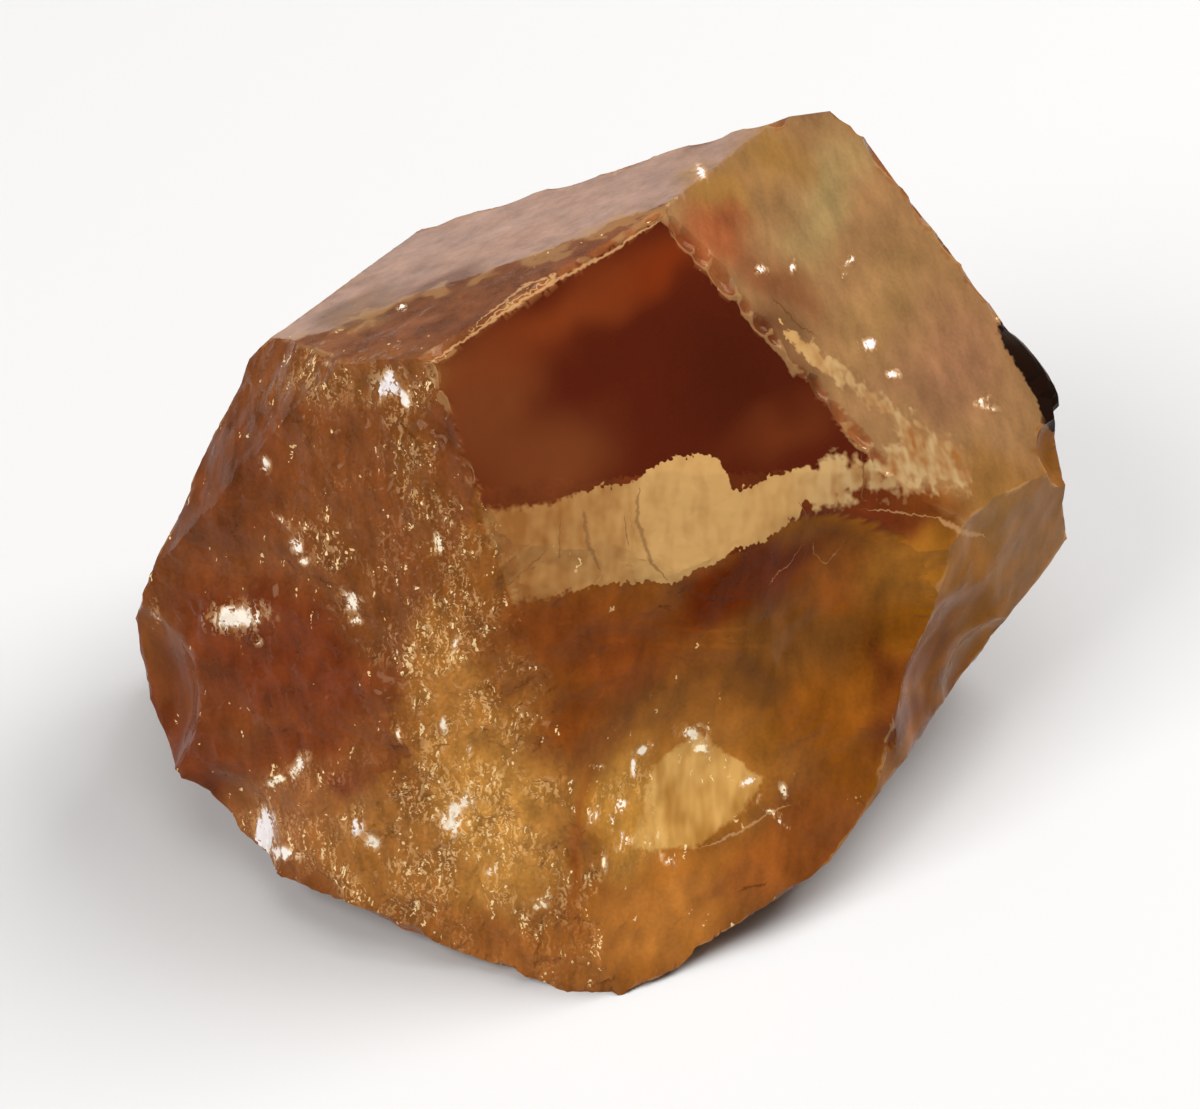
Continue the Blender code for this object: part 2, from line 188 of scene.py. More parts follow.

# Each patch of body colour on the side in view: picture place, half sizes, turn, softness from 0 to 1,
# colour, cloudy share and glitter.
# The bright golden patches low on the front are partly the stone's golden colour and partly painted light
# that comes through it.
PATCHES = (
    ((-17.5, -5.5), (7.5, 4.2), -20, 0.5, (116, 54, 26), 0.77, 0.05),
    ((-20.5, 3.5), (4.0, 6.5), -35, 0.6, (116, 62, 32), 0.77, 0.15),
    ((-22.5, -11.5), (3.6, 6.0), 15, 0.6, (114, 54, 26), 0.77, 0.1),
    ((-15.5, -14.6), (5.2, 2.6), -12, 0.5, (160, 98, 52), 0.77, 0.6),
    ((-12.0, 9.0), (6.0, 1.6), 4, 0.6, (146, 88, 42), 0.77, 0.9),
    ((-9.6, 3.0), (1.5, 7.0), 14, 0.7, (138, 80, 32), 0.77, 0.9),
    ((-13.0, -2.0), (2.2, 5.0), 30, 0.6, (134, 76, 34), 0.77, 0.8),
    ((-8.2, -8.4), (2.0, 5.4), 8, 0.7, (192, 128, 58), 0.81, 1.0),
    ((-5.6, -14.6), (4.4, 6.0), -8, 0.7, (206, 144, 66), 0.83, 0.9),
    ((-11.5, -16.4), (4.5, 3.0), -25, 0.6, (176, 114, 52), 0.81, 1.0),
    ((-5.0, -21.5), (6.0, 2.2), -24, 0.7, (164, 98, 42), 0.81, 0.5),
    ((-16.6, -10.4), (3.0, 1.4), 20, 0.7, (124, 60, 28), 0.79, 0.2),
    ((-13.6, -12.6), (1.2, 0.8), 0, 0.9, (130, 62, 30), 0.79, 0.6),
    ((-2.6, 4.6), (4.0, 3.0), 20, 0.8, (108, 54, 26), 0.81, 0.0),
    ((-6.0, 8.0), (3.2, 5.0), 0, 0.8, (108, 54, 26), 0.81, 0.0),
    ((-1.0, 13.0), (7.0, 1.8), 32, 0.9, (116, 50, 20), 0.81, 0.0),
    ((3.2, 15.0), (3.0, 1.6), 30, 0.9, (116, 44, 14), 0.83, 0.0),
    ((7.4, 9.0), (4.0, 5.0), 0, 0.8, (70, 24, 10), 0.85, 0.0),
    ((9.6, 6.4), (3.4, 1.6), 20, 0.9, (96, 42, 18), 0.83, 0.0),
    ((-3.0, -3.8), (4.0, 1.6), 15, 0.8, (128, 68, 26), 0.79, 0.0),
    ((0.2, -5.4), (4.6, 2.8), 0, 0.7, (124, 62, 22), 0.79, 0.0),
    ((8.0, -1.8), (5.4, 2.2), 25, 0.5, (94, 36, 8), 0.81, 0.0),
    ((-1.0, -9.6), (3.6, 2.4), 0, 0.8, (130, 66, 20), 0.79, 0.2),
    ((5.4, -8.4), (3.2, 2.2), 10, 0.8, (142, 84, 28), 0.75, 0.1),
    ((5.0, -12.4), (6.2, 4.6), 10, 0.8, (172, 110, 44), 0.77, 0.2),
    ((1.5, -13.8), (2.2, 4.2), 0, 0.7, (196, 138, 60), 0.81, 0.8),
    ((10.6, -4.8), (4.4, 3.2), 15, 0.6, (112, 68, 26), 0.73, 0.0),
    ((12.6, -1.6), (3.0, 1.8), 30, 0.6, (140, 76, 22), 0.75, 0.0),
    ((17.4, -0.8), (4.0, 2.2), 10, 0.6, (152, 96, 30), 0.77, 0.0),
    ((18.0, 2.4), (2.4, 0.8), -8, 0.7, (120, 62, 22), 0.79, 0.0),
    ((14.8, -7.0), (3.2, 2.2), 40, 0.7, (140, 79, 20), 0.77, 0.0),
    ((12.4, -9.8), (2.4, 3.6), 30, 0.7, (140, 79, 20), 0.77, 0.0),
    ((15.4, -9.6), (2.0, 1.2), 40, 0.8, (104, 52, 20), 0.77, 0.0),
    ((17.6, -5.6), (4.6, 0.9), 32, 0.9, (116, 60, 20), 0.79, 0.0),
    ((15.0, -6.6), (1.0, 2.6), 20, 0.9, (108, 54, 18), 0.79, 0.0),
    ((20.0, -4.6), (2.4, 1.8), 30, 0.7, (144, 88, 14), 0.77, 0.0),
    ((12.0, -16.0), (3.6, 4.0), 45, 0.6, (132, 72, 28), 0.79, 0.0),
    ((3.2, -19.6), (5.0, 3.2), 25, 0.7, (182, 114, 46), 0.79, 0.1),
    ((8.0, -17.2), (3.0, 1.2), 35, 0.8, (162, 90, 34), 0.79, 0.0),
    ((-1.4, -16.8), (0.45, 5.6), -3, 0.9, (156, 88, 34), 0.81, 0.3),
    ((23.6, 0.6), (3.0, 5.0), 0, 0.7, (140, 94, 48), 0.79, 0.0),
    ((20.6, 2.8), (2.2, 2.6), 0, 0.8, (142, 98, 48), 0.79, 0.0),
    ((6.2, 19.0), (2.4, 1.6), -40, 0.8, (154, 110, 56), 0.77, 0.0),
    ((6.6, 16.8), (2.6, 1.3), -38, 0.8, (156, 86, 48), 0.79, 0.0),
    ((12.0, 19.0), (1.7, 4.2), -20, 0.9, (158, 130, 82), 0.77, 0.0),
    ((9.4, 21.0), (2.4, 1.8), -20, 0.9, (146, 106, 54), 0.77, 0.0),
    ((9.6, 14.6), (3.6, 1.2), -45, 0.8, (128, 80, 48), 0.81, 0.0),
    ((15.6, 13.4), (2.0, 4.4), -38, 0.9, (148, 110, 66), 0.77, 0.0),
    ((19.0, 10.0), (3.4, 3.4), 0, 0.8, (146, 102, 70), 0.77, 0.0),
    ((17.6, 8.2), (3.2, 1.1), -20, 0.9, (136, 96, 64), 0.79, 0.0),
    ((-8.6, 13.6), (3.2, 1.0), 20, 0.6, (118, 72, 46), 0.75, 0.0),
    ((-13.0, 12.6), (2.6, 1.2), 28, 0.7, (128, 88, 58), 0.77, 0.0),
)
PATCH_WOBBLE = 0.9

# The pale band across the window's foot: picture places along its upper and its lower edge.
BAND_TOP = (
    (-6.6, 1.8), (-6.4, 2.4), (-3.7, 2.5), (-2.0, 2.8), (-0.5, 3.3), (1.6, 3.6), (2.1, 3.9), (3.2, 4.7),
    (4.8, 5.1), (6.3, 5.0), (6.7, 4.3), (7.1, 3.2), (7.8, 3.4), (9.1, 4.0), (11.0, 4.4), (12.3, 5.0),
    (13.6, 5.4), (14.1, 4.6), (14.4, 5.2), (15.2, 5.5), (16.3, 6.1), (17.6, 6.7), (18.8, 6.2), (19.6, 5.0),
    (20.2, 3.2),
)
BAND_FOOT = (
    (-6.6, 2.2), (-5.6, -0.5), (-4.7, -2.9), (-2.9, -2.7), (-1.3, -2.2), (0.0, -1.9), (2.1, -1.6),
    (3.9, -1.9), (5.3, -1.0), (7.5, 0.0), (9.4, 0.8), (10.6, 1.8), (11.0, 2.8), (11.5, 2.2), (13.1, 2.1),
    (14.0, 3.0), (16.0, 2.9), (17.9, 3.2), (20.2, 3.1),
)

# How light the pale band is along it: picture places across, and the share of the lighter colour.
BAND_LIGHT_AT = ((-6.6, 0.0), (-3.0, 0.25), (1.6, 0.5), (2.2, 0.9), (6.0, 1.0), (10.0, 0.85), (13.8, 0.7),
                 (14.2, 0.6), (18.0, 0.5), (21.9, 0.2))

# The band grows tattered between these places across.
TATTER_SPAN = (9.0, 15.0)

# The pale branch that climbs the window's right edge: picture places along it, and half widths.
BRANCH = ((17.4, 4.8, 1.6), (17.0, 5.9, 1.3), (16.2, 7.0, 0.7), (14.7, 8.0, 0.8), (13.2, 9.1, 0.9),
          (11.8, 10.2, 0.8), (10.6, 11.2, 0.5), (9.6, 12.2, 0.1), (9.5, 12.6, -0.4))

# The painted glow low on the front, light coming through the stone: its corners' picture places, going
# round it against the clock.
PAINTED_GLOW_CORNERS = ((2.7, -11.5), (1.5, -16.2), (5.1, -16.0), (7.8, -14.0), (8.8, -12.2), (5.2, -9.5))

# Each line on the side in view: picture places along it, half width, and tone from 0, dark, to 1, bright.
MARKS = (
    (((-0.9, 2.1), (-0.6, 0.3), (0.0, -1.1)), 0.17, 0.2),
    (((2.1, 3.4), (2.0, 1.6), (2.7, -0.5), (3.6, -1.7)), 0.16, 0.22),
    (((-2.1, 1.7), (-2.2, -0.5)), 0.06, 0.2),
    (((1.3, 1.9), (1.5, 0.2)), 0.06, 0.2),
    (((-4.5, -1.5), (-3.6, -0.7), (-2.8, 0.0)), 0.08, 0.2),
    (((14.0, 5.2), (14.1, 4.0), (14.0, 2.6)), 0.08, 0.1),
    (((10.6, 2.6), (11.1, 1.8), (11.2, 0.4)), 0.08, 0.1),
    (((-10.9, 7.1), (-10.4, 6.5), (-9.8, 5.8)), 0.15, 0.0),
    (((7.4, -18.2), (8.1, -18.0), (8.9, -17.8)), 0.12, 0.0),
    # These two bright lines are painted highlights along the window's upper rim.
    (((-9.4, 9.9), (-7.6, 11.0), (-5.0, 12.8), (-2.4, 14.4), (0.4, 15.8), (3.3, 17.7)), 0.13, 0.9),
    (((-6.8, 12.0), (-4.2, 14.0), (-2.2, 14.9)), 0.08, 0.9),
    (((10.8, 0.2), (9.9, -0.9), (9.1, -1.8)), 0.035, 0.45),
    (((11.5, 0.6), (11.4, -0.2), (12.0, -0.8), (12.9, 0.2)), 0.035, 0.45),
    (((14.2, 2.2), (16.2, 2.0), (18.2, 1.7)), 0.07, 0.6),
    (((18.0, 1.8), (19.3, 1.0), (20.6, 0.7)), 0.22, 0.7),
    (((5.4, -16.0), (7.0, -15.3), (9.2, -14.0), (10.2, -13.6)), 0.09, 0.8),
    (((9.2, 13.6), (10.4, 12.2), (11.6, 11.4)), 0.07, 0.0),
)

# Each painted glint, a highlight painted on the side in view: picture place, half sizes, turn, and
# whiteness from 0 to 1.
PAINTED_GLINTS = (
    ((-11.3, 8.8), (0.7, 0.7), 0, 1.0), ((-10.4, 8.0), (0.3, 0.5), 30, 0.7),
    ((-17.9, 4.7), (0.25, 0.4), 20, 0.7), ((-17.0, 1.6), (0.45, 0.16), -45, 0.6),
    ((-16.2, 0.3), (0.3, 0.4), 0, 0.7), ((-15.8, -0.6), (0.3, 0.2), 30, 0.5),
    ((-19.4, -3.6), (1.15, 0.6), 0, 0.6), ((-18.2, -4.9), (0.2, 0.2), 0, 0.9),
    ((-23.8, -3.3), (0.2, 0.55), 8, 0.7), ((-13.3, -2.8), (0.35, 0.55), 30, 0.6),
    ((-13.0, -3.8), (0.3, 0.2), 0, 0.5), ((-16.1, -11.6), (0.3, 0.75), -30, 0.6),
    ((-17.4, -12.4), (0.6, 0.2), 25, 0.4), ((-17.9, -15.0), (0.55, 1.0), 0, 1.0),
    ((-17.2, -16.2), (0.9, 0.3), -10, 0.8), ((-13.0, -14.9), (0.35, 0.45), 0, 0.9),
    ((-12.2, -15.6), (0.4, 0.3), 0, 0.5), ((-8.0, -14.4), (0.5, 0.9), -25, 0.5),
    ((-7.2, -13.4), (0.4, 0.3), 0, 0.4), ((-5.8, -17.2), (0.3, 0.3), 0, 0.4),
    ((-3.2, -18.9), (0.5, 0.3), 30, 0.2), ((-8.6, 0.3), (0.2, 0.35), 20, 0.4),
    ((-7.7, -5.0), (0.14, 0.4), -8, 0.5), ((-8.4, -9.4), (0.2, 0.4), 10, 0.5),
    ((-7.0, -10.6), (0.16, 0.35), 0, 0.4), ((-10.8, -9.8), (0.12, 0.35), 15, 0.4),
    ((5.4, 20.2), (0.25, 0.4), 20, 0.9), ((8.6, 15.0), (0.25, 0.25), 0, 0.8),
    ((10.3, 15.2), (0.16, 0.28), 0, 0.8), ((13.3, 15.4), (0.45, 0.14), 45, 0.8),
    ((13.0, 14.7), (0.14, 0.14), 0, 0.8), ((14.4, 11.0), (0.35, 0.25), 10, 1.0),
    ((15.7, 9.4), (0.25, 0.2), 0, 0.9), ((20.4, 8.0), (0.45, 0.13), 30, 0.6),
    ((20.9, 7.6), (0.4, 0.12), -10, 0.6), ((0.7, 20.4), (0.2, 0.2), 0, 0.6),
    ((24.6, 9.9), (0.16, 0.2), 0, 0.5), ((1.8, -11.6), (0.14, 0.6), 5, 0.6),
    ((2.3, -10.7), (0.35, 0.2), 45, 0.5), ((4.9, -9.8), (0.6, 0.4), -10, 0.4),
    ((5.4, -10.6), (0.4, 0.3), 0, 0.2), ((7.9, -12.4), (0.4, 0.22), 45, 0.6),
    ((8.3, -13.3), (0.3, 0.14), 45, 0.4), ((9.8, -12.9), (0.16, 0.35), 20, 0.3),
    ((9.2, -14.0), (0.3, 0.12), -20, 0.3), ((9.7, -14.6), (0.35, 0.12), -25, 0.5),
    ((-0.3, -14.2), (0.18, 0.5), -15, 0.6), ((1.1, -13.6), (0.28, 0.3), 30, 0.6),
    ((0.6, -14.4), (0.16, 0.2), 0, 0.6), ((1.2, -15.3), (0.5, 0.22), -30, 0.7),
    ((1.0, -16.0), (0.24, 0.16), 0, 0.4), ((0.2, -16.8), (0.16, 0.5), 5, 0.2),
    ((3.6, -16.6), (0.5, 0.18), -30, 0.5), ((-0.2, -11.6), (0.3, 0.12), 0, 0.3),
    ((-14.6, 10.0), (0.16, 0.2), 0, 0.6), ((-11.6, 16.4), (0.2, 0.3), 20, 0.7),
    ((-10.6, 13.0), (0.2, 0.16), 0, 0.7),
)

# Colours of the finish's details, its painted glow, sparkle, glints and highlights among them, in linear
# light.
BAND_SHADE = (0.27, 0.105, 0.026, 1.0)
BAND_LIGHT = (0.49, 0.280, 0.098, 1.0)
BRANCH_LIGHT = (0.42, 0.275, 0.125, 1.0)
PAINTED_GLOW_SHADE = (0.39, 0.18, 0.035, 1.0)
PAINTED_GLOW_LIGHT = (0.64, 0.37, 0.11, 1.0)
CREASE_HIGHLIGHT = (0.40, 0.22, 0.085, 1.0)
PAINTED_SPARKLE_GOLD = (0.62, 0.33, 0.08, 1.0)
PAINTED_SPARKLE_LIGHT = (1.0, 0.84, 0.50, 1.0)
PAINTED_GLINT_WHITE = (0.88, 0.82, 0.82, 1.0)
# Colours of the painted halo of light round each painted glint.
PAINTED_HALO_SHADE = (0.40, 0.17, 0.035, 1.0)
PAINTED_HALO_LIGHT = (0.80, 0.55, 0.30, 1.0)
MARK_DARK = (0.10, 0.030, 0.005, 1.0)
MARK_LIGHT = (0.60, 0.34, 0.145, 1.0)
DARK_PATCH_COLOUR = (0.009, 0.003, 0.0015, 1.0)
STREAK_STRETCH = 3.0

# The stone's depth: what light is left, as a share of the density, and the density in metres.
DEPTH_COLOUR = (0.87, 0.69, 0.06, 1.0)
DEPTH_DENSITY = 340.0

# How much of what isn't cloudy the eye sees through, for a stone full of fine flaws.
CLEAR_SHARE = 0.45

# How strongly the clear and the cloudy parts reflect head on, and the colour that those reflections take.
QUARTZ_IOR = 1.55
GLASS_SHEEN = 0.09
CLOUD_SHEEN = 0.06
WARM_SHEEN = (1.0, 0.76, 0.52, 1.0)

# Sizes of the finish's noises and flashes, and how far they bend each other.
MEDIUM_SIZE = 0.7
FINE_SIZE = 0.2
FLASH_SIZE = 0.30
CRUMPLE_SIZE = 0.22
BEND = 0.8

# The room's light and the floor's pale grey.
ROOM_LIGHT = (1.0, 0.93, 0.86, 1.0)
ROOM_STRENGTH = 0.18
FLOOR_GREY = (0.64, 0.64, 0.64, 1.0)

# The floor's half width in metres.
FLOOR_REACH = 1.5

GRID_CELLS = 128
FAR_AWAY = 1.0e3
NEAR_SURFACE = 1.6
SNAP_CELLS = 0.5
SHARP_ANGLE = 14.0


def outward(azimuth, elevation):
    """The unit vector along an azimuth, 0 towards -Y and 90 towards +X, and an elevation."""
    turn, rise = math.radians(azimuth), math.radians(elevation)
    return np.array([math.sin(turn) * math.cos(rise), -math.cos(turn) * math.cos(rise), math.sin(rise)])


def unit(rows):
    """Each row divided by its length."""
    return rows / np.linalg.norm(rows, axis=-1, keepdims=True)


FACE_NAMES = [row[0] for row in FACES]
FACE_NORMALS = np.array([outward(row[1], row[2]) for row in FACES])
FACE_REACH = np.array([row[3] for row in FACES])
FIRST_HOLLOW = len(FACES)


def lattice_value(corner, seed):
    """A repeatable value from 0 to 1 for each whole-number corner: its coordinates are mixed as bits."""
    mixed = (
        corner[..., 0].astype(np.uint32) * np.uint32(374761393)
        + corner[..., 1].astype(np.uint32) * np.uint32(668265263)
        + corner[..., 2].astype(np.uint32) * np.uint32(2246822519)
        + np.uint32((seed * 3266489917) % 4294967296)
    )
    for shift, factor in ((15, 2246822519), (13, 3266489917)):
        mixed = (mixed ^ (mixed >> np.uint32(shift))) * np.uint32(factor)
    return (mixed ^ (mixed >> np.uint32(16))) / 4294967295.0


def waves(points, length, seed):
    """Gradient noise from about -1 to 1: eased blends of random slopes at the corners of a cubic grid."""
    scaled = points / length
    low = np.floor(scaled).astype(np.int64)
    part = scaled - low
    ease = part * part * part * (part * (part * 6.0 - 15.0) + 10.0)
    total = np.zeros(len(points))
    for step in np.ndindex(2, 2, 2):
        corner = low + np.array(step)
        slope = np.stack([lattice_value(corner, seed + k) for k in (0, 1, 2)], -1) * 2.0 - 1.0
        share = np.prod(np.where(np.array(step) == 1, ease, 1.0 - ease), axis=-1)
        total += share * np.sum(slope * (part - np.array(step)), axis=-1)
    return total * 1.6


def hackles(points, size, seed):
    """Small flat breaks: each point takes the tilt of the nearest of some scattered centres."""
    scaled = points / size
    low = np.floor(scaled).astype(np.int64)
    best = np.full(len(points), 9.0)
    height = np.zeros(len(points))
    for step in np.ndindex(3, 3, 3):
        corner = low + np.array(step) - 1
        centre = corner + np.stack([lattice_value(corner, seed + k) for k in (0, 1, 2)], -1)
        away = scaled - centre
        gap = np.sum(away * away, axis=-1)
        tilt = np.stack([lattice_value(corner, seed + k) for k in (3, 4, 5)], -1) * 2.0 - 1.0
        here = gap < best
        best = np.where(here, gap, best)
        height = np.where(here, np.sum(tilt * away, axis=-1), height)
    return height


def face_relief(index, points):
    """How far a face lies under its plane: broad waves with finer ones, low steps, hackles and grain."""
    _name, _azimuth, _elevation, _reach, height, length, hackle, grain = FACES[index]
    seed = 17 * index
    broad = waves(points, length, seed) + 0.45 * waves(points, length / 2.3, seed + 31)
    stepped = waves(points * np.array([0.6, 0.6, 1.3]), length, seed + 61) * 2.5
    stair = np.floor(stepped) + np.clip((stepped - np.floor(stepped)) * 6.0 - 5.0, 0.0, 1.0)
    depth = height * (broad + 0.2 * stair)
    if hackle:
        depth += hackle * (hackles(points, 1.5, seed + 7) + 0.5 * hackles(points, 0.6, seed + 13))
    if grain:
        depth += grain * (lattice_value(np.round(points * 7.0).astype(np.int64), seed + 3) * 2.0 - 1.0)
    return depth


def ball_entry(directions, centre, to_ball, ripple, ripple_count):
    """Distance at which each ray from the heart enters a stretched ball with ripples round one side of it.

    The ray and the ball's centre are carried into the ball's own frame, where it has radius one."""
    ray = directions @ to_ball.T
    middle = to_ball @ centre
    a = np.sum(ray * ray, axis=1)
    b = ray @ middle
    found = np.full(len(directions), FAR_AWAY)
    radius = np.ones(len(directions))
    for _pass in range(2 if ripple else 1):
        inside = b * b - a * (middle @ middle - radius * radius)
        hit = (inside > 0.0) & (b > 0.0)
        root = np.sqrt(np.maximum(inside, 0.0))
        found = np.where(hit, (b - root) / a, FAR_AWAY)
        local = ray * found[:, None] - middle
        size = np.maximum(np.linalg.norm(local, axis=1), 1e-9)
        away = np.arccos(np.clip(local @ RIPPLE_AXIS / size, -1, 1))
        radius = 1.0 + ripple * np.cos(ripple_count * away)
    return found


def ball_exit(directions, centre, to_ball):
    """Distance at which each ray from the heart leaves a stretched ball, or zero where it misses it."""
    ray = directions @ to_ball.T
    middle = to_ball @ centre
    a = np.sum(ray * ray, axis=1)
    b = ray @ middle
    inside = b * b - a * (middle @ middle - 1.0)
    root = np.sqrt(np.maximum(inside, 0.0))
    return np.where((inside > 0.0) & (b > 0.0), (b + root) / a, 0.0)


def meeting_point(names):
    """The point where three faces meet: the solution of their three plane equations."""
    rows = [FACE_NAMES.index(name) for name in names]
    return np.linalg.solve(FACE_NORMALS[rows], FACE_REACH[rows])


def hollow_balls():
    """Each hollow as its ball's centre, the matrix into the ball's own frame, and its ripples."""
    balls = []
    for mouth, azimuth, elevation, spin, half_sizes, depth, ripple, ripple_count in HOLLOWS:
        opening = outward(azimuth, elevation)
        turn = Vector(opening).to_track_quat("Z", "Y").to_matrix()
        turn = np.array(turn @ Matrix.Rotation(math.radians(spin), 3, "Z"))
        centre = np.array(mouth) + opening * (half_sizes[2] - depth)
        to_ball = np.diag(1.0 / np.array(half_sizes)) @ turn.T
        balls.append((centre, to_ball, ripple / half_sizes[2], ripple_count))
    return balls


def chip_balls():
    """Each chip as its ball's centre, the matrix into the ball's own frame, and no ripples."""
    dice = random.Random(CHIP_SEED)
    balls = []
    for start_faces, end_faces, count, smallest, largest in CHIPPED_EDGES:
        start, end = meeting_point(start_faces), meeting_point(end_faces)
        along = Vector(end - start).to_track_quat("X", "Z").to_matrix()
        for number in range(count):
            share = (number + dice.uniform(0.15, 0.85)) / count
            radius = dice.uniform(smallest, largest)
            on_edge = start + (end - start) * share
            centre = on_edge + unit(on_edge) * radius * (1.0 - CHIP_DEPTH_SHARE)
            wobble = Euler([math.radians(dice.uniform(-CHIP_WOBBLE, CHIP_WOBBLE)) for _axis in range(3)])
            half_sizes = np.array([radius * dice.uniform(*CHIP_STRETCH), radius, radius])
            turn = np.array(along @ wobble.to_matrix())
            balls.append((centre, np.diag(1.0 / half_sizes) @ turn.T, 0.0, 0))
    return balls


def lump_ball():
    """The dark lump's centre and the matrix into its own frame."""
    top, foot = meeting_point(RIM_TOP), meeting_point(RIM_FOOT)
    on_rim = top + (foot - top) * LUMP_SHARE
    turn = np.array(Vector(foot - top).to_track_quat("Z", "Y").to_matrix())
    return on_rim - unit(on_rim) * LUMP_INSET, np.diag(1.0 / np.array(LUMP_HALF_SIZE)) @ turn.T


def lump_reach(directions):
    """How far the lump carries each ray from the heart: its stretched ball, roughened by waves."""
    reach = ball_exit(directions, LUMP_CENTRE, LUMP_FRAME)
    points = directions * reach[:, None]
    return reach * (1.0 + LUMP_ROUGHNESS * waves(points, 1.8, 911))


BALLS = hollow_balls() + chip_balls()
LUMP_CENTRE, LUMP_FRAME = lump_ball()


def limits(directions):
    """How far each ray from the heart gets before each face, hollow and chip, one row for each of them."""
    reach = np.full((FIRST_HOLLOW + len(BALLS), len(directions)), FAR_AWAY)
    facing = FACE_NORMALS @ directions.T
    ahead = facing > 0.03
    reach[:FIRST_HOLLOW][ahead] = (FACE_REACH[:, None] / np.maximum(facing, 0.03))[ahead]
    nearest = reach[:FIRST_HOLLOW].min(axis=0)
    for index in range(FIRST_HOLLOW):
        close = np.nonzero(reach[index] < nearest + NEAR_SURFACE)[0]
        if len(close) == 0 or FACES[index][4] == 0.0:
            continue
        points = directions[close] * reach[index, close, None]
        depth = face_relief(index, points)
        reach[index, close] = (FACE_REACH[index] - depth) / facing[index, close]
    for row, (centre, to_ball, ripple, ripple_count) in enumerate(BALLS, FIRST_HOLLOW):
        widest = 1.05 / np.linalg.norm(to_ball, -2)
        spread = math.asin(min(widest / np.linalg.norm(centre), 1.0))
        close = np.nonzero(directions @ unit(centre) > math.cos(spread))[0]
        entry = ball_entry(directions[close], centre, to_ball, ripple, ripple_count)
        if ripple:
            met = np.nonzero(entry < nearest[close] + NEAR_SURFACE)[0]
            points = directions[close[met]] * entry[met, None]
            rough = waves(points, 3.4, 53 * row) + 0.5 * waves(points, 1.3, 59 * row)
            entry[met] += HOLLOW_ROUGHNESS * rough
        reach[row, close] = entry
    return reach


def stone_ends(reach):
    """The nearest limit in each direction, eased where it is nearly tied with a soft hollow.

    The ease takes off a quarter of the square of the shortfall from the wear's width, over that width."""
    hard = np.delete(reach, [FIRST_HOLLOW + index for index in SOFT_HOLLOWS], axis=0).min(axis=0)
    for index in SOFT_HOLLOWS:
        soft = reach[FIRST_HOLLOW + index]
        tie = np.maximum(SOFT_WEAR - np.abs(hard - soft), 0.0)
        hard = np.minimum(hard, soft) - tie * tie / (4.0 * SOFT_WEAR)
    return hard


def edge_gaps(reach):
    """How much further than the nearest limit the next one is. Quiet pairs and soft rims get FAR_AWAY."""
    order = np.argpartition(reach, 1, axis=0)[:2]
    first, second = np.take_along_axis(reach, order, axis=0)
    gap = np.abs(second - first)
    for pair in QUIET_PAIRS:
        low, high = sorted(FACE_NAMES.index(name) for name in pair)
        gap = np.where((order.min(axis=0) == low) & (order.max(axis=0) == high), FAR_AWAY, gap)
    for index in SOFT_HOLLOWS:
        gap = np.where((order == FIRST_HOLLOW + index).any(axis=0), FAR_AWAY, gap)
    return gap


def cube_grid(cells):
    """The whole-number corners of a cube's surface cells, shared along its edges, and its four-sided faces.

    Each of the six sides is a square grid. Corners that two sides share are found as equal rows."""
    line = np.arange(cells + 1)
    across, along = np.meshgrid(line, line, indexing="ij")
    flat_low, flat_high = np.zeros_like(across), np.full_like(across, cells)
    sides = (
        (flat_high, across, along), (flat_low, along, across), (along, flat_high, across),
        (across, flat_low, along), (across, along, flat_high), (along, across, flat_low),
    )
    corners = np.concatenate([np.stack(side, -1).reshape(-1, 3) for side in sides])
    shared, index = np.unique(corners, axis=0, return_inverse=True)
    index = index.reshape(6, cells + 1, cells + 1)
    quads = np.stack([index[:, :-1, :-1], index[:, 1:, :-1], index[:, 1:, 1:], index[:, :-1, 1:]], -1)
    return shared, quads.reshape(-1, 4)


def grid_directions(corners, cells):
    """Unit vectors through the cube's corners, with the tangent that makes their angles even."""
    return unit(np.tan((corners / cells * 2.0 - 1.0) * math.pi / 4.0))


def snapped_directions(directions):
    """Directions moved onto the nearest crease, where two limits are equal, when one is within half a cell.

    The slope of the difference along two sideways steps gives the crease as a straight line nearby. A
    corner, where three limits are equal, comes first."""
    cell = math.pi / 2.0 / GRID_CELLS
    helper = np.where(np.abs(directions[:, 2:]) < 0.8, np.array([0.0, 0.0, 1.0]), np.array([1.0, 0.0, 0.0]))
    side_a = unit(np.cross(directions, helper))
    side_b = np.cross(directions, side_a)
    reach = limits(directions)
    order = np.argpartition(reach, 3, axis=0)[:3]
    picked = np.take_along_axis(reach, order, axis=0)
    rank = np.argsort(picked, axis=0)
    order = np.take_along_axis(order, rank, axis=0)
    middle = np.take_along_axis(reach, order, axis=0)
    step = cell * 0.5
    slopes = []
    for side in (side_a, side_b):
        moved = np.take_along_axis(limits(unit(directions + side * step)), order, axis=0)
        slopes.append((moved - middle) / 0.5)
    gap_1, gap_2 = middle[1] - middle[0], middle[2] - middle[0]
    first = np.stack([slopes[0][1] - slopes[0][0], slopes[1][1] - slopes[1][0]], -1)
    second = np.stack([slopes[0][2] - slopes[0][0], slopes[1][2] - slopes[1][0]], -1)
    steep_1 = np.sum(first * first, axis=-1) + 1e-12
    edge_move = -gap_1[:, None] * first / steep_1[:, None]
    edge_near = gap_1 < SNAP_CELLS * 0.86 * np.sqrt(steep_1)
    cross = first[:, 0] * second[:, 1] - first[:, 1] * second[:, 0]
    cross = np.where(np.abs(cross) < 1e-9, 1e-9, cross)
    corner_move = np.stack([
        (-gap_1 * second[:, 1] + gap_2 * first[:, 1]) / cross,
        (-gap_2 * first[:, 0] + gap_1 * second[:, 0]) / cross,
    ], -1)
    corner_near = np.max(np.abs(corner_move), axis=-1) < 0.55
    move = np.where(corner_near[:, None], corner_move, np.where(edge_near[:, None], edge_move, 0.0))
    move = np.clip(move, -0.6, 0.6) * cell
    return unit(directions + side_a * move[:, :1] + side_b * move[:, 1:])


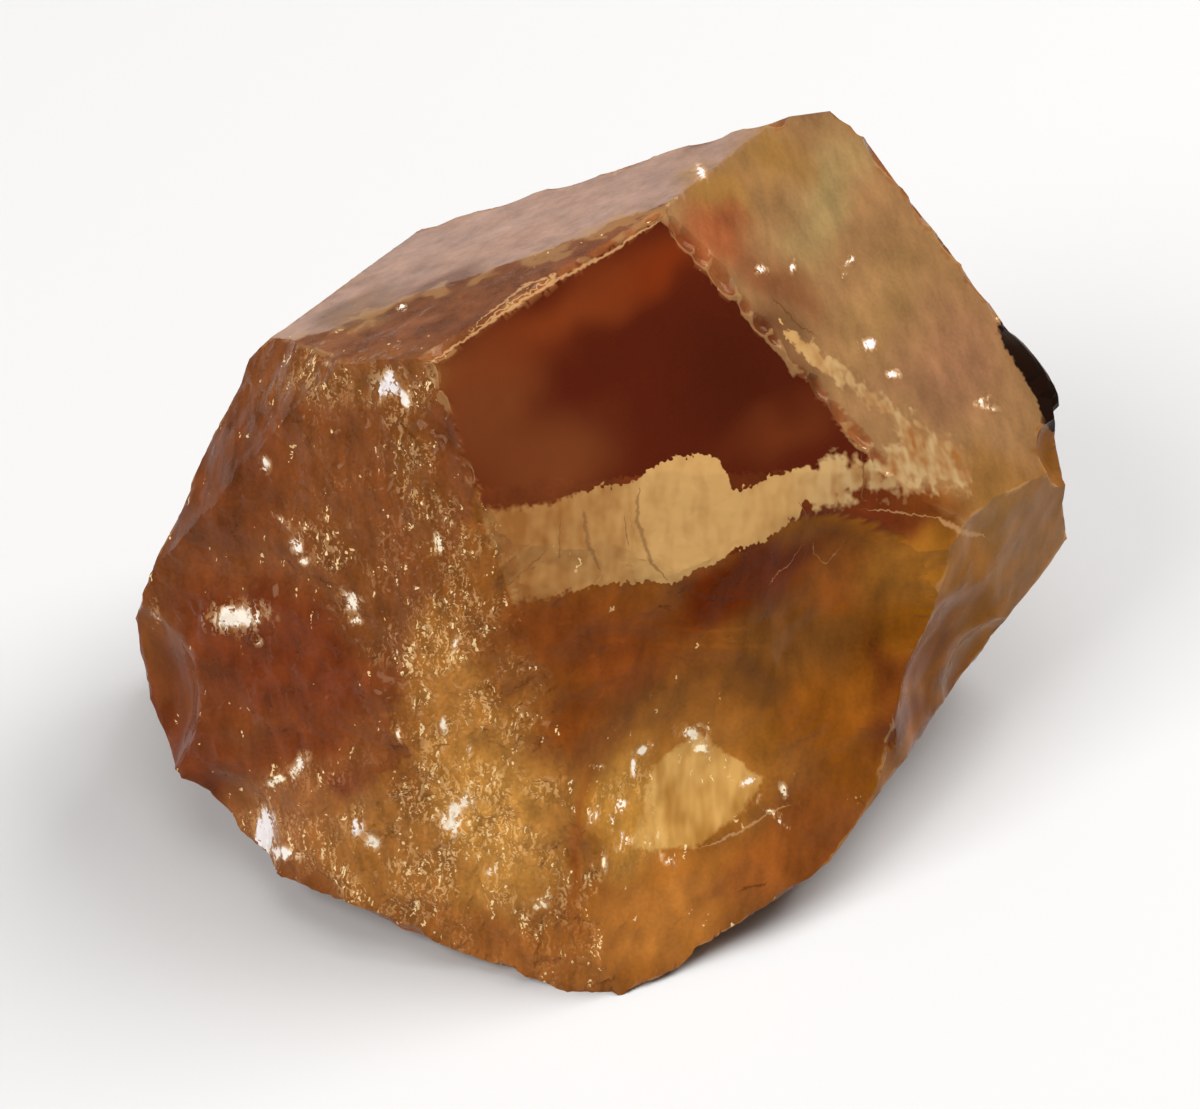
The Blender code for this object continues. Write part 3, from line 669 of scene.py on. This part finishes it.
def stone_surface():
    """The stone's skin: in each direction from the heart, the nearest of all its faces, hollows and chips.

    The lump on the rim takes over where it reaches further. Returns points, triangles, the limit that ends
    the stone at each point, and how much further the next limit is."""
    corners, quads = cube_grid(GRID_CELLS)
    directions = grid_directions(corners, GRID_CELLS)
    directions = snapped_directions(directions)
    reach = limits(directions)
    kind = reach.argmin(axis=0)
    ends = stone_ends(reach)
    lump = lump_reach(directions)
    kind = np.where(lump > ends, -1, kind)
    points = directions * np.maximum(ends, lump)[:, None]
    mid = unit(directions[quads].sum(axis=1))
    mid_reach = np.maximum(stone_ends(limits(mid)), lump_reach(mid))
    through_0 = np.linalg.norm((points[quads[:, 0]] + points[quads[:, 2]]) / 2.0, axis=1)
    through_1 = np.linalg.norm((points[quads[:, 1]] + points[quads[:, 3]]) / 2.0, axis=1)
    use_0 = np.abs(through_0 - mid_reach) <= np.abs(through_1 - mid_reach)
    split_0 = np.concatenate([quads[:, [0, 1, 2]], quads[:, [0, 2, 3]]], axis=1)
    split_1 = np.concatenate([quads[:, [1, 2, 3]], quads[:, [1, 3, 0]]], axis=1)
    triangles = np.where(use_0[:, None], split_0, split_1).reshape(-1, 3)
    return points, triangles, kind, edge_gaps(reach)


def point_normals(points, triangles):
    """The stone's outward direction at each point: the sum of its triangles' area vectors."""
    a, b, c = (points[triangles[:, k]] for k in (0, 1, 2))
    area = np.cross(b - a, c - a)
    total = np.stack([
        np.bincount(triangles.ravel(), np.repeat(area[:, k], 3), len(points)) for k in (0, 1, 2)
    ], -1)
    return unit(total)


def linear(colour):
    """Linear light from 8-bit sRGB, by the usual power curve."""
    share = np.array(colour) / 255.0
    return np.where(share <= 0.04045, share / 12.92, ((share + 0.055) / 1.055) ** 2.4)


def picture_places(points):
    """Where points fall in the photograph, in millimetres at the heart, and how far they stand towards it.

    The sideways and upward parts are divided by each point's share of the camera's distance."""
    rise = math.radians(CAMERA_RISE)
    up = points @ np.array([0.0, math.sin(rise), math.cos(rise)])
    towards = points @ outward(0.0, CAMERA_RISE)
    nearness = 1.0 - towards / CAMERA_DISTANCE
    return points[:, 0] / nearness, up / nearness, towards


def smooth_step(values, low, high):
    """Zero below low, one above high, and an eased ramp between."""
    share = np.clip((values - low) / (high - low), 0.0, 1.0)
    return share * share * (3.0 - 2.0 * share)


def rotated(across, along, turn):
    """Sideways and upward parts seen from a pattern turned against the clock by some degrees."""
    c, d = math.cos(math.radians(turn)), math.sin(math.radians(turn))
    return across * c + along * d, along * c - across * d


def paint(points, kind, right, up, seen):
    """Body colour, cloudy share, glitter, gloss and mottle of each point: its face's own, then the patches.

    A patch fades with the distance from its middle in its own half sizes, made uneven by waves."""
    looks = [FACE_LOOKS.get(name, OTHER_FACE_LOOKS) for name in FACE_NAMES]
    looks += [HOLLOW_LOOKS] * len(HOLLOWS) + [CHIP_LOOKS] * (len(BALLS) - len(HOLLOWS)) + [LUMP_LOOKS]
    colour = np.array([linear(row[0]) for row in looks])[kind]
    share, glitter, gloss, mottle = (np.array(column)[kind] for column in list(zip(*looks))[1:])
    wobble_right = PATCH_WOBBLE * waves(points, 2.6, 401)
    wobble_up = PATCH_WOBBLE * waves(points, 2.6, 431)
    for middle, half_sizes, turn, softness, patch_colour, patch_share, patch_glitter in PATCHES:
        across, along = rotated(right + wobble_right - middle[0], up + wobble_up - middle[1], turn)
        distance = np.hypot(across / half_sizes[0], along / half_sizes[1])
        weight = smooth_step(-distance, -1.0 - softness * 0.5, -1.0 + softness) * seen
        colour += weight[:, None] * (linear(patch_colour) - colour)
        share += weight * (patch_share - share)
        glitter += weight * (patch_glitter - glitter)
    return {"body": colour, "share": share, "glitter": glitter, "gloss": gloss, "mottle": mottle}


def dark_patch_field(points, right, up, seen):
    """How far inside the dark patch each place is, in millimetres, and below zero outside.

    The patch is a stretched ball round the lump and, on the side in view, what lies right of its border."""
    beside_lump = (points - LUMP_CENTRE) @ LUMP_FRAME.T * LUMP_HALF_SIZE / DARK_PATCH_HALF_SIZE
    in_ball = (1.0 - np.linalg.norm(beside_lump, axis=1)) * DARK_PATCH_HALF_SIZE[0]
    past_border = right - np.interp(up, *np.array(DARK_PATCH_BORDER).T)
    past_border = np.minimum(past_border, np.minimum(up - DARK_PATCH_BORDER[0][0], DARK_PATCH_BORDER[-1][0] - up))
    return np.maximum(in_ball, past_border.clip(-1.0, 1.0) - 2.0 * (1.0 - seen)).clip(-1.0, 1.0)


def band_field(right, up):
    """How far inside the pale band or its branch each place is, in millimetres, and below zero outside."""
    top, foot, branch = np.array(BAND_TOP).T, np.array(BAND_FOOT).T, np.array(BRANCH).T
    band = np.minimum(np.interp(right, *top) - up, up - np.interp(right, *foot))
    band = np.where((right < top[0, 0]) | (right > top[0, -1]), -1.0, band)
    side = np.interp(up, branch[1], branch[2]) - np.abs(right - np.interp(up, branch[1], branch[0]))
    side = np.where((up < branch[1, 0]) | (up > branch[1, -1]), -1.0, side)
    return np.maximum(band, side)


def painted_glow_field(right, up):
    """How far inside the painted glow each place is, in millimetres, and below zero outside."""
    inside = np.full(len(right), 9.0)
    for (right_0, up_0), (right_1, up_1) in zip(PAINTED_GLOW_CORNERS, PAINTED_GLOW_CORNERS[1:] + PAINTED_GLOW_CORNERS[:1]):
        along = unit(np.array([right_1 - right_0, up_1 - up_0]))
        inside = np.minimum(inside, (up - up_0) * along[0] - (right - right_0) * along[1])
    return inside


def painted_glint_fields(right, up):
    """How far inside the nearest painted glint each place is, 1 at its middle, 0 at its edge, and its
    whiteness.
    """
    inside, white = np.full(len(right), -FAR_AWAY), np.zeros(len(right))
    for middle, half_sizes, turn, whiteness in PAINTED_GLINTS:
        across, along = rotated(right - middle[0], up - middle[1], turn)
        here = 1.0 - np.hypot(across / half_sizes[0], along / half_sizes[1])
        white = np.where(here > inside, whiteness, white)
        inside = np.maximum(inside, here)
    return inside, white


def mark_fields(right, up):
    """The nearest line to each place: the side of it and distance, the distance alone, its width and tone.

    Each straight piece of a line is measured along and across. The width eases to nothing at both ends."""
    nearest = np.full(len(right), FAR_AWAY)
    side, width, tone = np.zeros((3, len(right)))
    for line, half_width, line_tone in MARKS:
        line = np.array(line)
        lengths = np.linalg.norm(np.diff(line, axis=0), axis=1)
        begun = np.concatenate([[0.0], np.cumsum(lengths)])
        for start, end, length, before in zip(line, line[1:], lengths, begun):
            across, along = right - start[0], up - start[1]
            step_right, step_up = end - start
            reached = np.clip((across * step_right + along * step_up) / length ** 2, 0.0, 1.0)
            away = np.hypot(across - reached * step_right, along - reached * step_up)
            turning = across * step_up - along * step_right
            here = away < nearest
            nearest = np.where(here, away, nearest)
            side = np.where(here, np.copysign(away, turning), side)
            share = (before + reached * length) / begun[-1]
            ease = np.sqrt(np.clip(4.0 * share * (1.0 - share), 0.0, 1.0))
            width = np.where(here, half_width * ease, width)
            tone = np.where(here, line_tone, tone)
    return side, nearest, width, tone


def surface_layers(points, triangles, kind, edge_gap):
    """Every named value that the stone's material reads at its points."""
    right, up, towards = picture_places(points)
    facing = point_normals(points, triangles) @ outward(0.0, CAMERA_RISE)
    seen = smooth_step(facing, 0.0, 0.12) * smooth_step(towards, -12.0, -9.0)
    layers = paint(points, kind, right, up, seen)
    painted_glint, painted_glint_white = painted_glint_fields(right, up)
    mark_side, mark_near, mark_width, mark_tone = mark_fields(right, up)
    layers["dark_patch"] = dark_patch_field(points, right, up, seen)
    layers["broad"] = 0.5 + 0.45 * (waves(points, 2.2, 701) + 0.5 * waves(points, 1.1, 733))
    layers["band"] = np.clip(band_field(right, up), -1.0, 2.0) - 2.0 * (1.0 - seen)
    layers["band_light"] = np.interp(right, *np.array(BAND_LIGHT_AT).T)
    layers["tatter"] = smooth_step(right, *TATTER_SPAN)
    layers["painted_glow_inside"] = np.clip(painted_glow_field(right, up), -1.0, 2.0) - 2.0 * (1.0 - seen)
    layers["painted_glint"] = painted_glint.clip(-3.0, 1.0) - 2.0 * (1.0 - seen)
    layers["painted_glint_white"] = painted_glint_white
    layers["mark_side"] = mark_side.clip(-1.0, 1.0)
    layers["mark_near"] = mark_near.clip(0.0, 2.0) + 2.0 * (1.0 - seen)
    layers["mark_width"] = mark_width
    layers["mark_tone"] = mark_tone
    layers["edge_gap"] = edge_gap.clip(0.0, 2.0)
    return layers


def set_attribute(mesh, name, values):
    """Store one number, or one colour, for each point of a mesh."""
    if values.ndim == 1:
        mesh.attributes.new(name, "FLOAT", "POINT").data.foreach_set("value", values.astype(np.float32))
        return
    rows = np.concatenate([values, np.ones((len(values), 1))], axis=1).astype(np.float32)
    mesh.attributes.new(name, "FLOAT_COLOR", "POINT").data.foreach_set("color", rows.ravel())


def mesh_object(name, points, triangles):
    """A mesh object whose points are given in millimetres from the heart."""
    mesh = bpy.data.meshes.new(name)
    mesh.vertices.add(len(points))
    mesh.vertices.foreach_set("co", ((points + HEART) * MM).ravel())
    mesh.loops.add(triangles.size)
    mesh.loops.foreach_set("vertex_index", triangles.ravel())
    mesh.polygons.add(len(triangles))
    mesh.polygons.foreach_set("loop_start", np.arange(0, triangles.size, 3))
    mesh.update(calc_edges=True)
    made = bpy.data.objects.new(name, mesh)
    bpy.context.scene.collection.objects.link(made)
    return made


class Socket:
    """A shader value that takes Python's arithmetic and adds the Math nodes for it.

    A product that something is added to becomes one multiply-add node."""

    def __init__(self, shader, output, steps=("", ())):
        self.shader = shader
        self.output = output
        self.steps = steps

    def math(self, operation, *others, clamp=False):
        return self.shader.maths(operation, (self, *others), clamp)

    def __add__(self, other):
        for product, rest in ((self, other), (other, self)):
            if isinstance(product, Socket) and product.steps[0] == "MULTIPLY":
                return self.shader.maths("MULTIPLY_ADD", (*product.steps[1], rest))
        return self.math("ADD", other)

    __radd__ = __add__

    def __mul__(self, other):
        return self.math("MULTIPLY", other)

    __rmul__ = __mul__

    def __sub__(self, other):
        return self.math("SUBTRACT", other) if isinstance(other, Socket) else self + -other

    def __rsub__(self, other):
        return self.math("MULTIPLY_ADD", -1.0, other)

    def __truediv__(self, other):
        return self.math("DIVIDE", other)

    def beside(self, output):
        """Another output of the same node."""
        return Socket(self.shader, self.output.node.outputs[output])

    def absolute(self):
        return self.math("ABSOLUTE")

    def clamped(self):
        """The same value held between zero and one, by the sum's own node where there is one."""
        operation, values = self.steps if self.steps[0] else ("ADD", (self, 0.0))
        return self.shader.maths(operation, values, clamp=True)

    def larger(self, other):
        return self.math("MAXIMUM", other)


class Shader:
    """A material's node tree, to which nodes are added by one method."""

    def __init__(self, name):
        self.material = bpy.data.materials.new(name)
        self.material.use_nodes = True
        self.tree = self.material.node_tree
        self.tree.nodes.clear()

    def add(self, kind, settings=None, values=None, output=0):
        """A node of this type with its settings, and the values or links of its sockets."""
        node = self.tree.nodes.new(kind)
        for name, value in (settings or {}).items():
            setattr(node, name, value)
        for key, value in (values or {}).items():
            if isinstance(value, Socket):
                self.tree.links.new(value.output, node.inputs[key])
            else:
                node.inputs[key].default_value = value
        return Socket(self, node.outputs[output]) if len(node.outputs) else None

    def maths(self, operation, values, clamp=False):
        """A Math node, which remembers its operation and values unless it is clamped."""
        settings = {"operation": operation, "use_clamp": clamp}
        made = self.add("ShaderNodeMath", settings, dict(enumerate(values)))
        return made if clamp else Socket(self, made.output, (operation, values))

    def finished(self):
        """The material, without the nodes that lead nowhere."""
        unused = [True]
        while unused:
            unused = [node for node in self.tree.nodes
                      if len(node.outputs) and not any(output.is_linked for output in node.outputs)]
            for node in unused:
                self.tree.nodes.remove(node)
        return self.material


def mix_colours(s, share, low, high, blend="MIX"):
    """One colour blended over another."""
    settings = {"data_type": "RGBA", "blend_type": blend}
    return s.add("ShaderNodeMix", settings, {"Factor": share, 6: low, 7: high}, output=2)


def vector_math(s, operation, first, second):
    """A vector from two others, or from one and a scale."""
    key = "Scale" if operation == "SCALE" else 1
    return s.add("ShaderNodeVectorMath", {"operation": operation}, {0: first, key: second})


def mask_over(value, edge, width):
    """Rises from zero to one over a width above an edge. Plain numbers make it a single node."""
    if isinstance(edge, Socket) or isinstance(width, Socket):
        return ((value - edge) / width).clamped()
    return (value * (1.0 / width) - edge / width).clamped()


def noise(s, where, size, detail):
    """Cloudy noise whose largest forms are about a size in millimetres."""
    values = {"Vector": where, "Scale": 1.0 / (size * MM), "Detail": detail, "Roughness": 0.55}
    return s.add("ShaderNodeTexNoise", {"noise_dimensions": "3D"}, values)


def flecks(s, where, size, chance, reach):
    """Spots in some cells of a scattered pattern, each of its own size. Also returns the cells' colours."""
    away = s.add("ShaderNodeTexVoronoi", {"feature": "F1"}, {"Vector": where, "Scale": 1.0 / (size * MM)})
    tint = away.beside(1)
    pick = s.add("ShaderNodeSeparateColor", {}, {"Color": tint})
    wide_enough = mask_over((pick.beside(1) * 0.65 + 0.35) * reach, away, 0.06)
    return mask_over(pick + chance, 1.0, 0.02) * wide_enough, tint


def stone_material():
    """Golden brown quartz: clear depth that soaks up blue and green, under a cloudy, glittering skin with
    painted glow, sparkle, glints and highlights.
    """
    s = Shader("citrine")
    place = s.add("ShaderNodeTexCoord", output=3)
    names = (
        "broad", "share", "glitter", "gloss", "mottle", "band", "band_light", "tatter", "painted_glow_inside", "painted_glint",
        "painted_glint_white", "mark_side", "mark_near", "mark_width", "mark_tone", "edge_gap", "dark_patch",
    )
    at = {name: s.add("ShaderNodeAttribute", {"attribute_name": name}, output=2) for name in names}
    body = s.add("ShaderNodeAttribute", {"attribute_name": "body"}, output=0)

    streaky = s.add("ShaderNodeMapping", {"vector_type": "TEXTURE"}, {
        "Vector": place, "Rotation": (math.radians(-CAMERA_RISE), 0.0, 0.0),
        "Scale": (1.0, 1.0, STREAK_STRETCH)})
    broad, medium, fine = at["broad"], noise(s, place, MEDIUM_SIZE, 1.0), noise(s, place, FINE_SIZE, 0.0)
    streaks = noise(s, streaky, MEDIUM_SIZE, 1.0)
    clump = mask_over(broad, 0.36, 0.26)
    # Painted highlight along the edges between faces, where chipped edges catch the light.
    crease = mask_over(medium * 0.34 - at["edge_gap"], 0.02, 0.05) * mask_over(broad, 0.46, 0.1)
    # Painted sparkle, light glinting off small facets and golden flakes: its colour, then its flecks and
    # crumpled foil.
    gold = mix_colours(s, fine, PAINTED_SPARKLE_GOLD, PAINTED_SPARKLE_LIGHT)
    broad, medium, fine, streaks = (value - 0.5 for value in (broad, medium, fine, streaks))
    warp = s.add("ShaderNodeCombineXYZ", {}, {0: medium, 1: fine, 2: streaks})
    bent = vector_math(s, "ADD", streaky, vector_math(s, "SCALE", warp, BEND * MM))

    flashes, flash_tint = flecks(s, bent, FLASH_SIZE, at["glitter"] * (0.07 + 0.45 * clump), 0.46)
    crumple = mask_over(noise(s, bent, CRUMPLE_SIZE, 0.0), 0.53, 0.14)
    foil = crumple * (at["glitter"] - 0.35).clamped() * clump
    painted_sparkle = (flashes + foil * 0.6).clamped()

    shard = s.add("ShaderNodeSeparateColor", {}, {"Color": flash_tint})
    # Painted glints: white and gold highlights painted into the body colour.
    ragged, patchy = at["painted_glint"] + medium * 0.9, shard - 0.5
    # Painted halo of light round each painted glint.
    painted_halo = mask_over(ragged + patchy * 1.3, -0.55, 0.9)
    painted_glint = mask_over(ragged + patchy * 0.9, 0.10, 0.35)

    wiggle = medium * 0.35 + fine * 0.16
    line = (1.4 - (at["mark_side"] + wiggle).absolute() * 1.4 / at["mark_width"].larger(0.01)).clamped()
    line = line * mask_over(at["mark_near"], 0.6, -0.1)

    band_edge = at["band"] + medium * (0.9 + at["tatter"] * 2.4) + fine * 0.45
    softness = 0.06 + at["tatter"] * 0.7 + (0.4 - at["band_light"]).clamped() * 1.6
    pale = mask_over(band_edge, 0.0, softness)
    uneven = medium * 0.5 + fine * 0.2
    # Painted glow: light that comes through the stone, painted into the body colour low on the front.
    painted_glow = mask_over(at["painted_glow_inside"] + uneven, 0.0, 0.22)
    # The dark patch round the lump on the rim.
    dark_patch = mask_over(at["dark_patch"] + uneven, 0.0, 0.16)

    swing = 0.98 + at["mottle"] * (broad * 1.2 + streaks * 1.4 + fine * 0.6)
    swing = swing + (crumple - 1.0) * (at["glitter"] * 0.35 * clump)
    tone = s.add("ShaderNodeCombineColor", {}, {0: swing, 1: swing, 2: swing})
    body = mix_colours(s, 1.0, body, tone, "MULTIPLY")
    cream_shade = at["band_light"] + (streaks * 0.9 + medium * 0.5) * (1.0 + at["tatter"] * 1.6)
    lightest = mix_colours(s, at["tatter"], BAND_LIGHT, BRANCH_LIGHT)
    cream = mix_colours(s, cream_shade.clamped(), BAND_SHADE, lightest)
    body = mix_colours(s, pale, body, cream)
    painted_glow_tone = (streaks * 2.2 + broad * 0.8 + 0.55).clamped()
    body = mix_colours(s, painted_glow * 0.85, body, mix_colours(s, painted_glow_tone, PAINTED_GLOW_SHADE, PAINTED_GLOW_LIGHT))
    body = mix_colours(s, crease * 0.5, body, CREASE_HIGHLIGHT)
    body = mix_colours(s, painted_sparkle, body, gold)
    body = mix_colours(s, painted_halo * 0.65, body, mix_colours(s, shard.beside(1), PAINTED_HALO_SHADE, PAINTED_HALO_LIGHT))
    body = mix_colours(s, painted_glint, body, mix_colours(s, at["painted_glint_white"], PAINTED_SPARKLE_LIGHT, PAINTED_GLINT_WHITE))
    body = mix_colours(s, line * 0.7, body, mix_colours(s, at["mark_tone"], MARK_DARK, MARK_LIGHT))
    body = mix_colours(s, dark_patch, body, DARK_PATCH_COLOUR)

    tilt = vector_math(s, "SUBTRACT", flash_tint, (0.5, 0.5, 0.5))
    tilt = vector_math(s, "SCALE", tilt, at["glitter"].larger(painted_halo) * 0.5)
    facing = s.add("ShaderNodeVectorMath", {"operation": "NORMALIZE"}, {
        0: vector_math(s, "ADD", s.add("ShaderNodeNewGeometry", output=1), tilt)})

    glass = s.add("ShaderNodeBsdfPrincipled", {}, {
        "Base Color": (1.0, 1.0, 1.0, 1.0), "Roughness": at["gloss"] * 0.5, "IOR": QUARTZ_IOR,
        "Transmission Weight": 1.0, "Specular IOR Level": GLASS_SHEEN, "Specular Tint": WARM_SHEEN,
        "Normal": facing,
    })
    cloud = s.add("ShaderNodeBsdfPrincipled", {}, {
        "Base Color": body, "Roughness": at["gloss"] * 0.6 + 0.12, "IOR": QUARTZ_IOR,
        "Specular IOR Level": CLOUD_SHEEN, "Specular Tint": WARM_SHEEN, "Normal": facing,
    })
    cloudy = at["share"] + dark_patch + pale * 0.35 + painted_glow * 0.2 + (painted_sparkle + painted_halo + line).clamped() * 0.35
    cloudy = (cloudy + at["mottle"] * broad * 0.6).clamped()
    cloudy = 1.0 - (1.0 - cloudy) * CLEAR_SHARE
    skin = s.add("ShaderNodeMixShader", {}, {0: cloudy, 1: glass, 2: cloud})
    depth = s.add("ShaderNodeVolumeAbsorption", {}, {"Color": DEPTH_COLOUR, "Density": DEPTH_DENSITY})
    s.add("ShaderNodeOutputMaterial", {}, {"Surface": skin, "Volume": depth})
    return s.finished()


def floor_material():
    """A plain pale matt floor."""
    s = Shader("pale_floor")
    surface = s.add("ShaderNodeBsdfPrincipled", {}, {
        "Base Color": FLOOR_GREY, "Roughness": 0.6, "Specular IOR Level": 0.0})
    s.add("ShaderNodeOutputMaterial", {}, {"Surface": surface})
    return s.finished()


def build_stone():
    """The stone's skin with its material."""
    points, triangles, kind, edge_gap = stone_surface()
    stone = mesh_object("citrine_crystal", points, triangles)
    for name, values in surface_layers(points, triangles, kind, edge_gap).items():
        set_attribute(stone.data, name, values)
    stone.data.shade_smooth()
    stone.data.set_sharp_from_angle(angle=math.radians(SHARP_ANGLE))
    stone.data.materials.append(stone_material())
    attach(stone, "root")
    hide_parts(NODE)
    return stone


def build_floor():
    """A wide plain floor under the stone."""
    mesh = bpy.data.meshes.new("floor")
    ends, level = (-FLOOR_REACH, FLOOR_REACH), CAD_BOX[0].z
    corners = [(x, y, level) for x, y in zip(ends + ends[::-1], sorted(ends * 2))]
    mesh.from_pydata(corners, [], [(0, 1, 2, 3)])
    floor = bpy.data.objects.new("floor", mesh)
    bpy.context.scene.collection.objects.link(floor)
    mesh.materials.append(floor_material())


def aim(thing, place, target):
    """Put a light or a camera at a place, looking at a target, both in millimetres from the heart."""
    thing.location = Vector((np.array(place) + HEART) * MM)
    look = Vector((np.array(target) - np.array(place)))
    thing.rotation_euler = look.to_track_quat("-Z", "Y").to_euler()


def build_camera():
    """The photograph's camera."""
    data = bpy.data.cameras.new("photo_camera")
    camera = bpy.data.objects.new("photo_camera", data)
    bpy.context.scene.collection.objects.link(camera)
    data.sensor_width = SENSOR_WIDTH
    data.lens = SENSOR_WIDTH * CAMERA_DISTANCE / (MM_PER_PIXEL * PHOTO_WIDTH)
    data.shift_y = -(PHOTO_HEIGHT / 2.0 - HEART_PIXEL_Y) / PHOTO_WIDTH
    data.clip_start = 0.01
    aim(camera, outward(0.0, CAMERA_RISE) * CAMERA_DISTANCE, (0.0, 0.0, 0.0))
    bpy.context.scene.camera = camera


def softbox(name, azimuth, elevation, distance, size, power):
    """A square area light that faces the stone."""
    data = bpy.data.lights.new(name, "AREA")
    data.shape = "SQUARE"
    data.size = size * MM
    data.energy = power
    light = bpy.data.objects.new(name, data)
    bpy.context.scene.collection.objects.link(light)
    aim(light, outward(azimuth, elevation) * distance, (0.0, 0.0, 0.0))


def build_light():
    """Soft studio light: a key from the upper right and behind, fills from the left and above."""
    softbox("key", 118, 52, 600, 320, 3.4)
    softbox("fill", -48, 42, 600, 320, 2.4)
    softbox("overhead", 10, 86, 700, 500, 1.6)
    world = bpy.data.worlds.new("studio")
    bpy.context.scene.world = world
    world.use_nodes = True
    world.node_tree.nodes["Background"].inputs["Color"].default_value = ROOM_LIGHT
    world.node_tree.nodes["Background"].inputs["Strength"].default_value = ROOM_STRENGTH
    bpy.context.scene.view_settings.view_transform = "Standard"


build_stone()
build_floor()
build_camera()
build_light()
